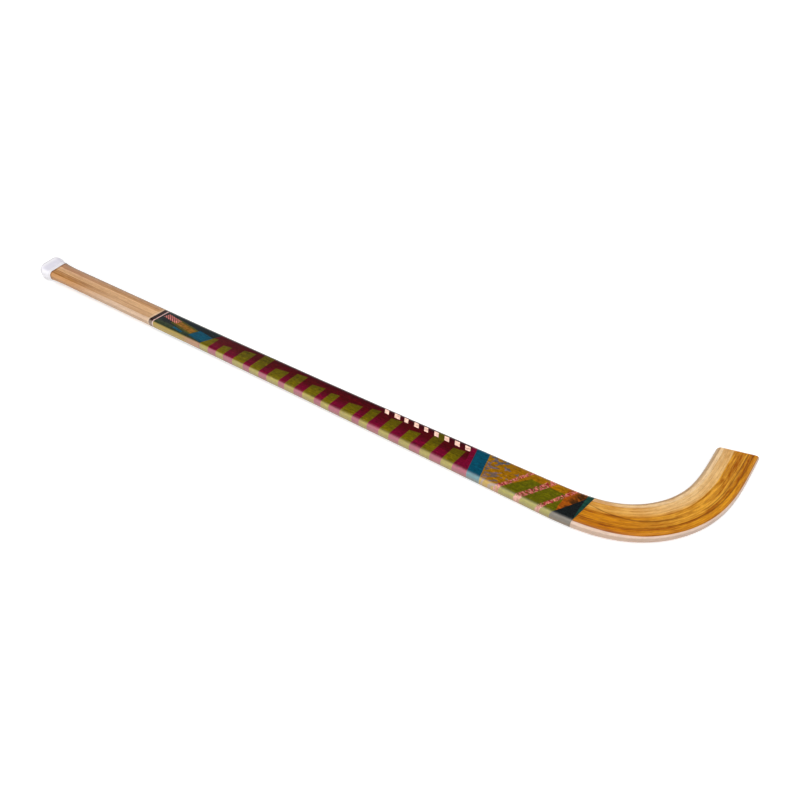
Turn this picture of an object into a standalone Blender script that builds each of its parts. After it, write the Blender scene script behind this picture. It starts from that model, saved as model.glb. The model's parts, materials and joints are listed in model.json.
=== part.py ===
# Roller hockey stick of laminated, bent wood, lying on its flat side.
#
# Units are metres, +Z is up. The handle lies along +X and the hook bends towards +Y.
# Every piece is a loft along one centreline. A place on the stick is given by
#   s  the distance along the centreline from the butt end of the cap,
#   u  the distance across it, negative towards the outer edge of the hook,
#   z  the height above the middle of the thickness.

import math

import bmesh
import bpy
from mathutils import Euler, Vector

# Line of the stick: a shaft with a very slight sweep, then the hook, which is a lead in,
# a round arc and a lead out, and a straight tip
SHAFT = 0.8135
SHAFT_SWEEP_RADIUS = 100.0
LEAD_IN = 0.078
HOOK_ARC = 0.108
LEAD_OUT = 0.078
TIP_STRAIGHT = 0.018
HOOK_RADIUS = 0.123
HOOK_STEPS = 44
LEAST_STEP = 0.001
SUMMING_STEPS = 48

# Section of the finished wood
THICKNESS = 0.014
EDGE_RADIUS = 0.005
GRIP_EDGE_RADIUS = 0.0065
EDGE_STEPS = 6
SIDE_FLAT = 0.0004
TIP_CHAMFER = 0.0006

# Laminas, side by side across the width
LAMINA_COUNT = 8
LAMINA = 0.0038
GLUE_LINE = 0.0002

# Blade wedges: the lamina that each one follows, how far before the bend its slot opens,
# the length over which it thickens, and its full thickness
WEDGES = (
    {"after": 3, "before_bend": 0.521, "taper": 0.400, "thick": 0.0045},
    {"after": 5, "before_bend": 0.321, "taper": 0.340, "thick": 0.0045},
    {"after": 6, "before_bend": 0.121, "taper": 0.255, "thick": 0.0045},
)
FEATHER = 0.00015

# Butt of the handle: the wood swells towards the cap along a parabola
FLARE_LENGTH = 0.046
FLARE_SIDE = 0.0036
FLARE_FACE = 0.0016
FLARE_STEPS = 9
BUTT_CHAMFER = 0.0015

# End cap: a moulded knob with a pocket for the butt. Its mouth stands a little proud of the
# wood, and it spreads to its end size, whose corners and edges are then rounded.
CAP_LENGTH = 0.0205
CAP_MOUTH_WALL = 0.0012
CAP_MOUTH_PROUD = 0.0003
CAP_END_WALL = 0.005
CAP_END_WIDTH = 0.0465
CAP_END_HEIGHT = 0.0272
CAP_END_RADIUS = 0.009
CAP_CORNER_ROUND = 0.008
CAP_EDGE_ROUND = 0.003
CAP_END_STEPS = 6
CAP_LIP = 0.0004
CAP_CLEARANCE = 0.0003

# Printed film sleeve, flush with the wood at both ends
FILM_START = 0.2255
FILM_PAST_BEND = 0.048
FILM_WALL = 0.0003
FILM_CLEARANCE = 0.0003

# Slanted cuts across the stick: the run along it for each unit across it
FILM_START_SLANT = 0.20
FILM_END_SLANT = 0.36
TIP_SLANT = -0.30
SLANT_RUN = 0.120

# Colours, from the outer edge lamina to the printed sleeve and the cap
PALE_WOOD = (0.72, 0.50, 0.34)
GOLDEN_WOOD = (0.58, 0.25, 0.03)
LIGHT_WOOD = (0.72, 0.45, 0.20)
TAN_WOOD = (0.55, 0.33, 0.16)
LAMINA_WOODS = (PALE_WOOD, GOLDEN_WOOD, GOLDEN_WOOD, LIGHT_WOOD, LIGHT_WOOD, TAN_WOOD, LIGHT_WOOD, TAN_WOOD)
WEDGE_WOODS = (GOLDEN_WOOD, LIGHT_WOOD, LIGHT_WOOD)
FILM_INK = (0.12, 0.02, 0.05)
CAP_WHITE = (0.85, 0.85, 0.88)
WOOD_ROUGHNESS = 0.35
FILM_ROUGHNESS = 0.2
CAP_ROUGHNESS = 0.45
SMOOTH_ANGLE = math.radians(30)

# Worked out from the above
LENGTH = SHAFT + LEAD_IN + HOOK_ARC + LEAD_OUT + TIP_STRAIGHT
FILM_END = SHAFT + FILM_PAST_BEND
FILM_SEAT = FILM_WALL + FILM_CLEARANCE
CAP_SEAT = CAP_MOUTH_WALL + CAP_CLEARANCE - CAP_MOUTH_PROUD
WOOD_START = CAP_END_WALL + CAP_CLEARANCE
WOOD_CAP_EDGE = CAP_LENGTH + CAP_CLEARANCE


def ramp(value, low, high):
    return min(max((value - low) / (high - low), 0.0), 1.0)


def heading(s):
    # The curvature grows evenly over the lead in and fades evenly over the lead out
    a = s - SHAFT
    turn = min(s, SHAFT) / SHAFT_SWEEP_RADIUS
    into = min(max(a, 0.0), LEAD_IN)
    turn += into * into / (2 * LEAD_IN * HOOK_RADIUS)
    turn += min(max(a - LEAD_IN, 0.0), HOOK_ARC) / HOOK_RADIUS
    out = min(max(a - LEAD_IN - HOOK_ARC, 0.0), LEAD_OUT)
    turn += (out - out * out / (2 * LEAD_OUT)) / HOOK_RADIUS
    return turn


def on_centreline(s):
    # A flat arc up to the bend, then Simpson's rule on the heading
    sweep = heading(min(s, SHAFT))
    x = SHAFT_SWEEP_RADIUS * math.sin(sweep)
    y = SHAFT_SWEEP_RADIUS * (1 - math.cos(sweep))
    if s <= SHAFT:
        return x, y
    step = (s - SHAFT) / SUMMING_STEPS
    for i in range(SUMMING_STEPS + 1):
        weight = 1 if i in (0, SUMMING_STEPS) else 4 if i % 2 else 2
        angle = heading(SHAFT + i * step)
        x += weight * step / 3 * math.cos(angle)
        y += weight * step / 3 * math.sin(angle)
    return x, y


def slant(s):
    # How far a cross-section leans along the stick, square in the handle and slanted at each cut
    lean = FILM_START_SLANT * ramp(s, FILM_START - SLANT_RUN, FILM_START)
    lean += (FILM_END_SLANT - FILM_START_SLANT) * ramp(s, FILM_START, FILM_END)
    lean += (TIP_SLANT - FILM_END_SLANT) * ramp(s, FILM_END, LENGTH)
    return lean


def place(s, u, z):
    along = s + slant(s) * u
    x, y = on_centreline(along)
    angle = heading(along)
    return Vector((x - u * math.sin(angle), y + u * math.cos(angle), z))


def slot(wedge, s):
    # Room that a wedge takes up between its two laminas, with its second glue line
    opens = SHAFT - wedge["before_bend"]
    return (wedge["thick"] + GLUE_LINE) * ramp(s, opens, opens + wedge["taper"])


def wedge_start(wedge):
    share = (FEATHER + GLUE_LINE) / (wedge["thick"] + GLUE_LINE)
    return SHAFT - wedge["before_bend"] + share * wedge["taper"]


def stack_half(s):
    # Half the width of the laminas and wedges together
    plain = LAMINA_COUNT * LAMINA + (LAMINA_COUNT - 1) * GLUE_LINE
    return (plain + sum(slot(wedge, s) for wedge in WEDGES)) / 2


def flare(s):
    return ramp(FLARE_LENGTH - s, 0.0, FLARE_LENGTH) ** 2


def fitting_round(radius, half_height):
    # A rounded edge leaves a short flat on the side
    return min(radius, half_height - SIDE_FLAT)


def outline(s):
    # Half the width, half the thickness and the edge radius of the finished wood
    half_width = stack_half(s) + FLARE_SIDE * flare(s)
    half_height = THICKNESS / 2 + FLARE_FACE * flare(s)
    radius = EDGE_RADIUS + (GRIP_EDGE_RADIUS - EDGE_RADIUS) * ramp(FILM_START - s, 0.0, FILM_START)
    return half_width, half_height, fitting_round(radius, half_height)


def seat(s):
    # How deep the wood is let in below the finished outline
    butt = BUTT_CHAMFER * (1 - ramp(s, WOOD_START, WOOD_START + BUTT_CHAMFER))
    cap = CAP_SEAT * (1 - ramp(s, CAP_LENGTH, WOOD_CAP_EDGE))
    film = FILM_SEAT * ramp(s, FILM_START - FILM_CLEARANCE, FILM_START)
    film *= 1 - ramp(s, FILM_END, FILM_END + FILM_CLEARANCE)
    tip = TIP_CHAMFER * ramp(s, LENGTH - TIP_CHAMFER, LENGTH)
    return butt + cap + film + tip


def stations():
    # Places along the stick where any outline changes, and even steps of the hook
    marks = [WOOD_START, WOOD_START + BUTT_CHAMFER, CAP_LENGTH, WOOD_CAP_EDGE]
    marks += [FLARE_LENGTH * i / FLARE_STEPS for i in range(1, FLARE_STEPS + 1)]
    marks += [FILM_START - SLANT_RUN, FILM_START - FILM_CLEARANCE, FILM_START]
    marks += [FILM_END, FILM_END + FILM_CLEARANCE]
    for wedge in WEDGES:
        opens = SHAFT - wedge["before_bend"]
        marks += [opens, wedge_start(wedge), opens + wedge["taper"]]
    hook = LEAD_IN + HOOK_ARC + LEAD_OUT
    marks += [SHAFT + hook * i / HOOK_STEPS for i in range(HOOK_STEPS + 1)]
    marks += [LENGTH - TIP_CHAMFER, LENGTH]
    return sorted(marks)


def stations_between(start, end):
    # The marks from start to end, without those that crowd another one
    fixed = (WOOD_START, CAP_LENGTH, WOOD_CAP_EDGE, FILM_START - FILM_CLEARANCE, FILM_START,
             FILM_END, FILM_END + FILM_CLEARANCE, LENGTH - TIP_CHAMFER, LENGTH, start, end)
    kept = []
    for mark in stations():
        if mark < start or mark > end:
            continue
        crowded = any(0 < abs(mark - other) < LEAST_STEP for other in fixed)
        if mark in fixed or not crowded:
            if mark not in kept:
                kept.append(mark)
    for mark in (start, end):
        if mark not in kept:
            kept.append(mark)
    return sorted(kept)


def face_height(s, u):
    # Height of the rounded outline above the middle
    half_width, flat, radius = (size - seat(s) for size in outline(s))
    depth = half_width - abs(u)
    if depth >= radius:
        return flat
    return flat - radius + math.sqrt(max(radius ** 2 - (radius - depth) ** 2, 0.0))


def edge_fractions(near, far):
    # Where across a layer the corners of the rounded edge fall, from its near to its far side
    cuts = []
    for i in range(EDGE_STEPS + 1):
        depth = EDGE_RADIUS * (1 - math.cos(math.pi / 2 * i / EDGE_STEPS))
        if near < depth < far:
            cuts.append((depth - near) / (far - near))
    return [0.0] + cuts + [1.0]


def layer_ring(s, low, high, fractions):
    # Cross-section of one layer of wood between low and high across the stick
    across = [low + (high - low) * share for share in fractions]
    heights = [face_height(s, u) for u in across]
    upper = [place(s, u, z) for u, z in zip(across, heights)]
    lower = [place(s, u, -z) for u, z in zip(across, heights)]
    return upper + lower[::-1]


def round_ring(s, half, half_height, radius):
    # Rounded rectangle round the whole section
    ring = []
    for quarter, (side, up) in enumerate(((-1, 1), (1, 1), (1, -1), (-1, -1))):
        for i in range(EDGE_STEPS + 1):
            angle = math.pi - math.pi / 2 * (quarter + i / EDGE_STEPS)
            u = side * (half - radius) + radius * math.cos(angle)
            z = up * (half_height - radius) + radius * math.sin(angle)
            ring.append(place(s, u, z))
    return ring


def loft(name, rings, colour, roughness, closed=False):
    # Skin a row of rings that all have as many points, and close both ends
    bm = bmesh.new()
    rows = [[bm.verts.new(point) for point in ring] for ring in rings]
    count = len(rows[0])
    pairs = list(zip(rows, rows[1:]))
    if closed:
        pairs.append((rows[-1], rows[0]))
    for row, after in pairs:
        for i in range(count):
            j = (i + 1) % count
            bm.faces.new((row[i], row[j], after[j], after[i]))
    if not closed:
        bm.faces.new(rows[0][::-1])
        bm.faces.new(rows[-1])
    bmesh.ops.recalc_face_normals(bm, faces=bm.faces)
    mesh = bpy.data.meshes.new(name)
    bm.to_mesh(mesh)
    bm.free()
    mesh.shade_smooth()
    mesh.set_sharp_from_angle(angle=SMOOTH_ANGLE)
    mesh.materials.append(finish(name, colour, roughness))
    piece = bpy.data.objects.new(name, mesh)
    bpy.context.scene.collection.objects.link(piece)
    return piece


def finish(name, colour, roughness):
    material = bpy.data.materials.new(name)
    material.use_nodes = True
    shader = material.node_tree.nodes["Principled BSDF"]
    shader.inputs["Base Color"].default_value = (*colour, 1.0)
    shader.inputs["Roughness"].default_value = roughness
    shader.inputs["Metallic"].default_value = 0.0
    return material


def layer_bounds(s):
    # Each layer's two sides at one station, from the outer edge to the inner one
    bounds = {}
    u = -stack_half(s)
    for number in range(1, LAMINA_COUNT + 1):
        bounds["lamina_%d" % number] = [u, u + LAMINA]
        u += LAMINA + GLUE_LINE
        for count, wedge in enumerate(WEDGES, 1):
            if wedge["after"] == number:
                bounds["blade_wedge_%d" % count] = [u, u + slot(wedge, s) - GLUE_LINE]
                u += slot(wedge, s)
    return bounds


def wood_layer(name, start, end, fractions, colour, sides):
    rings = []
    for s in stations_between(start, end):
        low, high = sides(s)
        rings.append(layer_ring(s, low, high, fractions))
    return loft(name, rings, colour, WOOD_ROUGHNESS)


def lamina(number, colour):
    name = "lamina_%d" % number
    shaft = LAMINA_COUNT * LAMINA + (LAMINA_COUNT - 1) * GLUE_LINE
    near = (number - 1) * (LAMINA + GLUE_LINE)
    if near + LAMINA / 2 < shaft / 2:
        fractions = edge_fractions(near, near + LAMINA)
    else:
        far = shaft - near
        fractions = [1 - share for share in edge_fractions(far - LAMINA, far)[::-1]]

    def sides(s):
        low, high = layer_bounds(s)[name]
        # The outermost laminas end at the finished outline
        if number == 1:
            low = seat(s) - outline(s)[0]
        if number == LAMINA_COUNT:
            high = outline(s)[0] - seat(s)
        return low, high

    return wood_layer(name, WOOD_START, LENGTH, fractions, colour, sides)


def blade_wedge(number, colour):
    name = "blade_wedge_%d" % number

    def sides(s):
        return layer_bounds(s)[name]

    return wood_layer(name, wedge_start(WEDGES[number - 1]), LENGTH, [0.0, 1.0], colour, sides)


def film_sleeve():
    marks = stations_between(FILM_START, FILM_END)
    rings = []
    for inset, row in ((0.0, marks), (FILM_WALL, marks[::-1])):
        for s in row:
            rings.append(round_ring(s, *(size - inset for size in outline(s))))
    return loft("film_sleeve", rings, FILM_INK, FILM_ROUGHNESS, closed=True)


def end_round(s, radius):
    # How far a side has drawn in at s, on its way round to the end face
    if s >= radius:
        return 0.0
    return radius - math.sqrt(radius ** 2 - (radius - s) ** 2)


def cap_section(s):
    mouth = [size + CAP_MOUTH_PROUD for size in outline(CAP_LENGTH)]
    end = (CAP_END_WIDTH / 2, CAP_END_HEIGHT / 2, CAP_END_RADIUS)
    spread = ramp(CAP_LENGTH - s, 0.0, CAP_LENGTH) ** 2
    half_width, half_height, radius = (a + (b - a) * spread for a, b in zip(mouth, end))
    half_width -= end_round(s, CAP_CORNER_ROUND)
    half_height -= end_round(s, CAP_EDGE_ROUND)
    return half_width, half_height, fitting_round(radius, half_height)


def end_cap():
    # Inside, from the pocket's floor to the mouth
    inner = stations_between(WOOD_START, CAP_LENGTH)
    rings = []
    for s in inner:
        depth = s - CAP_CLEARANCE if s == WOOD_START else s
        rings.append(round_ring(depth, *(size - seat(s) + CAP_CLEARANCE for size in outline(s))))
    # Round the lip of the mouth, then outside to the end face
    rings.append(round_ring(CAP_LENGTH, *(size - CAP_LIP for size in cap_section(CAP_LENGTH))))
    outer = [CAP_LENGTH - CAP_LIP]
    outer += [s for s in inner if CAP_CORNER_ROUND < s < CAP_LENGTH - CAP_LIP]
    for i in range(CAP_END_STEPS + 1):
        outer.append(CAP_CORNER_ROUND * (1 - math.sin(math.pi / 2 * i / CAP_END_STEPS)))
    for i in range(1, CAP_END_STEPS):
        outer.append(CAP_EDGE_ROUND * (1 - math.sin(math.pi / 2 * i / CAP_END_STEPS)))
    for s in sorted(set(outer), reverse=True):
        rings.append(round_ring(s, *cap_section(s)))
    return loft("end_cap", rings, CAP_WHITE, CAP_ROUGHNESS)


def lie_on_floor(pieces):
    # The cap is thicker than the blade, so the stick slopes down from its cap to its hook.
    # It turns about Y until both touch the floor, and the origin comes under the middle of its box.
    assembly = bpy.data.objects.new("hockey_stick", None)
    bpy.context.scene.collection.objects.link(assembly)
    points = [vertex.co for piece in pieces for vertex in piece.data.vertices]
    heel = min((point for point in points if point.x < CAP_LENGTH), key=lambda point: point.z)
    slope = min((point.z - heel.z) / (point.x - heel.x) for point in points if point.x > SHAFT)
    assembly.rotation_euler = (0.0, math.atan(slope), 0.0)
    turned = [Euler(assembly.rotation_euler).to_matrix() @ point for point in points]
    low = [min(point[axis] for point in turned) for axis in range(3)]
    high = [max(point[axis] for point in turned) for axis in range(3)]
    assembly.location = (-(low[0] + high[0]) / 2, -(low[1] + high[1]) / 2, -low[2])
    for piece in pieces:
        piece.parent = assembly


def main():
    for item in list(bpy.data.objects):
        bpy.data.objects.remove(item, do_unlink=True)
    pieces = [lamina(number, wood) for number, wood in enumerate(LAMINA_WOODS, 1)]
    pieces += [blade_wedge(number, wood) for number, wood in enumerate(WEDGE_WOODS, 1)]
    pieces.append(film_sleeve())
    pieces.append(end_cap())
    lie_on_floor(pieces)
    bpy.context.view_layer.update()


main()
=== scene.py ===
# Roller hockey stick: the looks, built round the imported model
import json
import math

import bmesh
import bpy
import numpy as np
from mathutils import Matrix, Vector


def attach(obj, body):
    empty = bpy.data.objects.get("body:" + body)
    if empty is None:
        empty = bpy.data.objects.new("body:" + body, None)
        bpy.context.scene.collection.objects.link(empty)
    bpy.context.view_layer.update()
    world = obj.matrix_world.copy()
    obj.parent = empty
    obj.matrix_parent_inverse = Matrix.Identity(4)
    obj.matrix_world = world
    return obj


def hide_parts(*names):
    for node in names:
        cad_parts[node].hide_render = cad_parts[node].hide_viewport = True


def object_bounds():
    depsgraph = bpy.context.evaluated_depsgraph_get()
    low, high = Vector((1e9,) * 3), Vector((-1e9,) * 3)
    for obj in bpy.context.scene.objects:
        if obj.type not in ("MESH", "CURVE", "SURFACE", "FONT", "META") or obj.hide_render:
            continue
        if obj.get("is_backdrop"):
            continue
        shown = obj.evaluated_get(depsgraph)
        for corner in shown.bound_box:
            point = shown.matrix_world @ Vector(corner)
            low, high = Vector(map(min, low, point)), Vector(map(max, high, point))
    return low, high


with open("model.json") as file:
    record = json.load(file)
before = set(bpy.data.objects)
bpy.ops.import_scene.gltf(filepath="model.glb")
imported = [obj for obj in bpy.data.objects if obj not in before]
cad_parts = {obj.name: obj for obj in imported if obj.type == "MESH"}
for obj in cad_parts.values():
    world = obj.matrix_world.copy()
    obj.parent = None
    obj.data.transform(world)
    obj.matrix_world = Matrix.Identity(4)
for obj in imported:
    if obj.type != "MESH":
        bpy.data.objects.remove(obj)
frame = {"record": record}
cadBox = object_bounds()
print("frame loaded")

mm = 0.001

# The stick's own line, as the model was built: along it, across it and up from its middle
line = {
    "shaft": 0.8135, "sweepRadius": 100.0,
    "leadIn": 0.078, "arc": 0.108, "leadOut": 0.078, "hookRadius": 0.123,
    "tip": 0.018,
    "filmStart": 0.2255, "filmPastBend": 0.048,
    "filmStartSlant": 0.20, "filmEndSlant": 0.36, "tipSlant": -0.30, "slantRun": 0.120,
    "spare": 0.02,              # the line is worked out this far past both ends
    "points": 4601,
}
line["end"] = line["shaft"] + line["leadIn"] + line["arc"] + line["leadOut"] + line["tip"]
line["filmEnd"] = line["shaft"] + line["filmPastBend"]

# The mount on the cap's end gives the place and the lie of the line
capEnd = next(mount for mount in frame["record"]["mounts"] if mount["name"] == "cap_end")
alongStick = -Vector(capEnd["axis"]).normalized()
acrossStick = Vector((0, 1, 0))
upStick = alongStick.cross(acrossStick)
buttPoint = Vector(capEnd["pos_m"])


def ramp(value, low, high):
    return min(max((value - low) / (high - low), 0.0), 1.0)


def quarterTurn(steps):
    return [math.pi / 2 * i / steps for i in range(steps + 1)]


def putInScene(name, data):
    made = bpy.data.objects.new(name, data)
    bpy.context.scene.collection.objects.link(made)
    return made


def heading(s):
    past = s - line["shaft"]
    turn = np.minimum(s, line["shaft"]) / line["sweepRadius"]
    into = np.clip(past, 0, line["leadIn"])
    turn = turn + into ** 2 / (2 * line["leadIn"] * line["hookRadius"])
    turn = turn + np.clip(past - line["leadIn"], 0, line["arc"]) / line["hookRadius"]
    out = np.clip(past - line["leadIn"] - line["arc"], 0, line["leadOut"])
    return turn + (out - out ** 2 / (2 * line["leadOut"])) / line["hookRadius"]


lineS = np.linspace(-line["spare"], line["end"] + line["spare"], line["points"])
lineTurn = heading(lineS)
lineStep = lineS[1] - lineS[0]
lineX = np.concatenate([[0], np.cumsum(np.cos((lineTurn[1:] + lineTurn[:-1]) / 2))]) * lineStep
lineY = np.concatenate([[0], np.cumsum(np.sin((lineTurn[1:] + lineTurn[:-1]) / 2))]) * lineStep
lineX -= np.interp(0, lineS, lineX)
lineY -= np.interp(0, lineS, lineY)


def slant(s):
    start, end = line["filmStart"], line["filmEnd"]
    atStart, atEnd, atTip = line["filmStartSlant"], line["filmEndSlant"], line["tipSlant"]
    lean = atStart * ramp(s, start - line["slantRun"], start)
    lean += (atEnd - atStart) * ramp(s, start, end)
    return lean + (atTip - atEnd) * ramp(s, end, line["end"])


def stickPoint(s, u, z):
    along = s + slant(s) * u
    turn = np.interp(along, lineS, lineTurn)
    x = np.interp(along, lineS, lineX) - u * math.sin(turn)
    y = np.interp(along, lineS, lineY) + u * math.cos(turn)
    return buttPoint + alongStick * x + acrossStick * y + upStick * z


# How a piece is laid out on its UV map and where its edges are hard
pieceMap = {
    "hardFrom": 38,             # degrees between two faces
    "leastStep": 0.1 * mm,
    "rowGap": 0.03,
    "rowFill": 0.94,
    "endShift": 0.03,           # the two end faces lie in a row of their own
    "endRoom": 0.13,
    "endFill": 0.9,
    "startPlace": 0.02,
    "tipPlace": 0.5,
}


def foldedMap(mesh, rings, faceSpots, closed):
    # A long piece is folded into rows on its UV map, so that a bake gets fine pixels all along it
    count = len(rings[0])
    first = [vertex.co.copy() for vertex in mesh.vertices[:count]]
    around = np.cumsum([0] + [(first[i] - first[i - 1]).length for i in range(1, count)])
    girth = around[-1] + (first[0] - first[-1]).length
    middles = []
    for row in range(len(rings)):
        middle = Vector((0, 0, 0))
        for vertex in mesh.vertices[row * count:(row + 1) * count]:
            middle += vertex.co
        middles.append(middle / count)
    steps = [max((b - a).length, pieceMap["leastStep"]) for a, b in zip(middles, middles[1:])]
    along = np.cumsum([0] + steps + [pieceMap["leastStep"]])
    strips = max(1, round(math.sqrt(along[-1] / girth)))
    stripLength = along[-1] / strips
    overlap = max(steps)
    width = stripLength + 2 * overlap
    bands = strips if closed else strips + 1
    layer = mesh.uv_layers.new(name="OFBake")
    for face in mesh.polygons:
        spot = faceSpots[face.index]
        for loop in face.loop_indices:
            row, i = divmod(mesh.loops[loop].vertex_index, count)
            if spot is None:
                u, z = rings[row][i][1:3]
                across = (u + pieceMap["endShift"]) / max(width, pieceMap["endRoom"])
                across += pieceMap["tipPlace"] if row else pieceMap["startPlace"]
                up = strips + 0.5 + pieceMap["endFill"] * z / girth
            else:
                faceRow, faceSide = spot
                middle = (along[faceRow] + along[faceRow + 1]) / 2
                strip = min(int(middle / stripLength), strips - 1)
                far = along[row] if row == faceRow else along[faceRow + 1]
                share = 1.0 if i == 0 and faceSide == count - 1 else around[i] / girth
                across = (far - strip * stripLength + overlap) / width
                up = strip + pieceMap["rowGap"] + pieceMap["rowFill"] * share
            layer.data[loop].uv = (across, up / bands)


def loftPiece(name, rings, closed=False):
    # Each ring is a list of (s, u, z, v). v is the share of the way across the piece.
    mesh = bpy.data.meshes.new(name)
    count = len(rings[0])
    points = []
    places = []
    shares = []
    for ring in rings:
        for s, u, z, v in ring:
            points.append(stickPoint(s, u, z))
            places.append((s + slant(s) * u, u, z))
            shares.append(v)
    faces = []
    faceSpots = []
    for row in range(len(rings) if closed else len(rings) - 1):
        after = (row + 1) % len(rings)
        for i in range(count):
            j = (i + 1) % count
            faces.append((row * count + i, row * count + j, after * count + j, after * count + i))
            faceSpots.append((row, i))
    if not closed:
        faces.append(tuple(range(count))[::-1])
        faces.append(tuple(range(len(points) - count, len(points))))
        faceSpots += [None, None]
    mesh.from_pydata(points, [], faces)
    place = mesh.attributes.new("place", "FLOAT_VECTOR", "POINT")
    place.data.foreach_set("vector", np.array(places, np.float32).ravel())
    share = mesh.attributes.new("share", "FLOAT", "POINT")
    share.data.foreach_set("value", np.array(shares, np.float32))
    outward = bmesh.new()
    outward.from_mesh(mesh)
    bmesh.ops.recalc_face_normals(outward, faces=outward.faces)
    outward.to_mesh(mesh)
    outward.free()
    foldedMap(mesh, rings, faceSpots, closed)
    mesh.shade_smooth()
    mesh.set_sharp_from_angle(angle=math.radians(pieceMap["hardFrom"]))
    piece = putInScene(name, mesh)
    flats = piece.modifiers.new("flats", "WEIGHTED_NORMAL")
    flats.keep_sharp = True
    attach(piece, "root")
    return piece


class Wire:  # one output of a node, so that maths on it reads as an expression
    def __init__(self, finish, socket):
        self.finish = finish
        self.socket = socket

    def maths(self, operation, other=0.0):
        return self.finish.node("ShaderNodeMath", {"operation": operation}, {0: self, 1: other})

    def __add__(self, other):
        return self.maths("ADD", other)

    __radd__ = __add__

    def __sub__(self, other):
        return self.maths("SUBTRACT", other)

    def __rsub__(self, other):
        return self.finish.node("ShaderNodeMath", {"operation": "SUBTRACT"}, {0: other, 1: self})

    def __mul__(self, other):
        return self.maths("MULTIPLY", other)

    __rmul__ = __mul__

    def __truediv__(self, other):
        return self.maths("DIVIDE", other)

    def __abs__(self):
        return self.maths("ABSOLUTE")

    def most(self, other):
        return self.maths("MAXIMUM", other)

    def least(self, other):
        return self.maths("MINIMUM", other)

    def floor(self):
        return self.maths("FLOOR")

    def fraction(self):
        return self.maths("FRACT")

    def between(self, low, high):  # 0 up to low, 1 from high on, smooth between them
        return self.finish.node(
            "ShaderNodeMapRange",
            {"interpolation_type": "SMOOTHSTEP"},
            {"Value": self, "From Min": low, "From Max": high},
        )

    def above(self, limit, soft):  # 1 above the limit, with an edge that soft
        return self.between(limit - soft, limit + soft)

    def below(self, limit, soft):
        return 1 - self.above(limit, soft)

    def band(self, low, high, soft):  # 1 from low to high, 0 beyond
        return self.above(low, soft) * self.below(high, soft)


class Finish:  # one material, with its nodes
    def __init__(self, name):
        self.material = bpy.data.materials.new(name)
        self.material.use_nodes = True
        self.tree = self.material.node_tree
        self.shader = self.tree.nodes["Principled BSDF"]

    def node(self, kind, settings, values, out=0):
        made = self.tree.nodes.new(kind)
        for key, value in settings.items():
            setattr(made, key, value)
        for key, value in values.items():
            self.feed(made.inputs[key], value)
        return Wire(self, made.outputs[out])

    def feed(self, socket, value):
        if isinstance(value, Wire):
            self.tree.links.new(value.socket, socket)
        else:
            socket.default_value = value

    def set(self, values):
        for key, value in values.items():
            self.feed(self.shader.inputs[key], value)

    def cover(self, look, colour, roughness, height):  # sets the shader, last of all
        self.set({"Base Color": colour, "Roughness": roughness})
        values = {"Height": height, "Strength": look["bump"], "Distance": look["bumpHeight"]}
        self.set({"Normal": self.node("ShaderNodeBump", {}, values)})
        self.set({"Coat Weight": look["coat"], "Coat Roughness": look["coatRoughness"]})
        self.set({"Specular IOR Level": look["specular"]})
        return self.material

    def places(self):  # along the stick, across it and up
        found = self.node("ShaderNodeAttribute", {"attribute_name": "place"}, {}, 1)
        return [self.node("ShaderNodeSeparateXYZ", {}, {0: found}, part) for part in range(3)]

    def share(self):
        return self.node("ShaderNodeAttribute", {"attribute_name": "share"}, {}, 2)

    def vector(self, x, y, z):
        return self.node("ShaderNodeCombineXYZ", {}, {0: x, 1: y, 2: z})

    def grain(self, look, s, u, z=1.0, shift=0.0):
        # look gives how fine it is along, across and up, then its detail and its roughness
        along, across, up, detail, roughness = look
        spot = self.vector(s * along + shift, u * across, z * up)
        values = {"Vector": spot, "Scale": 1.0, "Detail": detail, "Roughness": roughness}
        return self.node("ShaderNodeTexNoise", {}, values)

    def chance(self, value):  # a number from 0 to 1 for each whole number
        return self.node("ShaderNodeTexWhiteNoise", {"noise_dimensions": "1D"}, {"W": value}, 0)

    def mix(self, share, first, second, blend="MIX"):
        settings = {"data_type": "RGBA", "blend_type": blend}
        return self.node("ShaderNodeMix", settings, {0: share, 6: first, 7: second}, 2)

    def stain(self, colour, stains, masks):  # stains give a share and a tint for each mask
        for name, (share, tint) in stains.items():
            colour = self.mix(masks[name] * share, colour, tint, "MULTIPLY")
        return colour


def paint(colour):
    # a colour as a screen shows it, 0 to 255, as light values
    parts = []
    for part in colour:
        part /= 255
        parts.append(part / 12.92 if part <= 0.04045 else ((part + 0.055) / 1.055) ** 2.4)
    return (*parts, 1.0)


wood = {
    "thickness": 14 * mm, "edge": 5 * mm, "gripEdge": 6.5 * mm,
    "lamina": 3.8 * mm, "glue": 0.2 * mm, "count": 8,
    "feather": 0.15 * mm,       # how thin a wedge ends
    "seam": 0.02 * mm,          # what is left of a glue line on each side
    "groove": 0.09 * mm,        # how deep a joint is worn in, and how wide on each side
    "grooveWidth": 0.28 * mm,
    "start": 5.3 * mm,
    "flareLength": 46 * mm, "flareSide": 3.6 * mm, "flareFace": 1.6 * mm,
    "capEdge": 20.8 * mm, "capSeat": 1.2 * mm,
    "filmSeat": 0.6 * mm, "step": 0.3 * mm,
    "tipRound": 1.1 * mm,
    "leastHeight": 0.05 * mm, "leastStep": 0.05 * mm,
    "flareSteps": 12, "shaftSteps": 32, "hookSteps": 90, "tipSteps": 5, "edgeSteps": 8,
    "pastEdge": 0.25 * mm,      # one more line of points, just past the rounded edge
    "cutMargin": 0.12,          # none of them is nearer to a layer's side than this share of it
}
wood["plainStack"] = wood["count"] * wood["lamina"] + (wood["count"] - 1) * wood["glue"]

wedges = [
    {"after": 3, "beforeBend": 0.521, "taper": 0.400, "thick": 4.5 * mm},
    {"after": 5, "beforeBend": 0.321, "taper": 0.340, "thick": 4.5 * mm},
    {"after": 6, "beforeBend": 0.121, "taper": 0.255, "thick": 4.5 * mm},
]


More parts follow.
